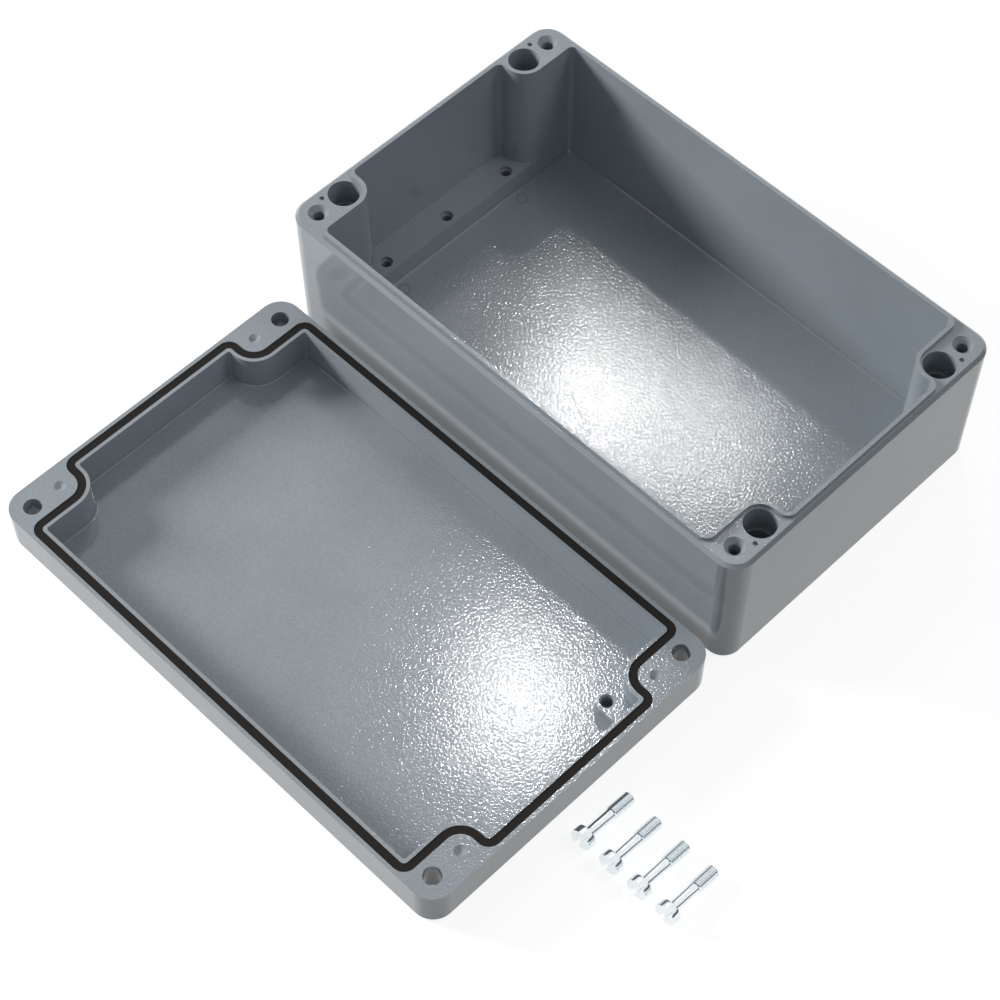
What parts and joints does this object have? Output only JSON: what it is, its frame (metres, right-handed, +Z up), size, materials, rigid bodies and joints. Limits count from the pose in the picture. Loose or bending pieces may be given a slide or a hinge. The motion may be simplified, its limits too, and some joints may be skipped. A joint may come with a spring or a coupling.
{
  "type": "die cast enclosure",
  "caption": "Die cast aluminium box taken apart: an open base with corner bosses and end rails, its lid upside down with a seal in its groove, and loose captive lid screws.",
  "frame": {"origin": "centre of the base's underside", "axes": "+X along the length of the base, +Y across its width away from the lid, +Z up out of the open base"},
  "size_m": [0.3248, 0.3267, 0.0717],
  "materials": {
    "casting": "light grey powder coat, glossy, slightly textured on the floors",
    "seal": "matt black",
    "screw": "bright stainless"
  },
  "bodies": {
    "root": {"base": "casting", "lid": "casting", "lid_gasket": "seal", "lid_screw_1": "screw", "lid_screw_2": "screw", "lid_screw_3": "screw", "lid_screw_4": "screw"}
  },
  "joints": []
}
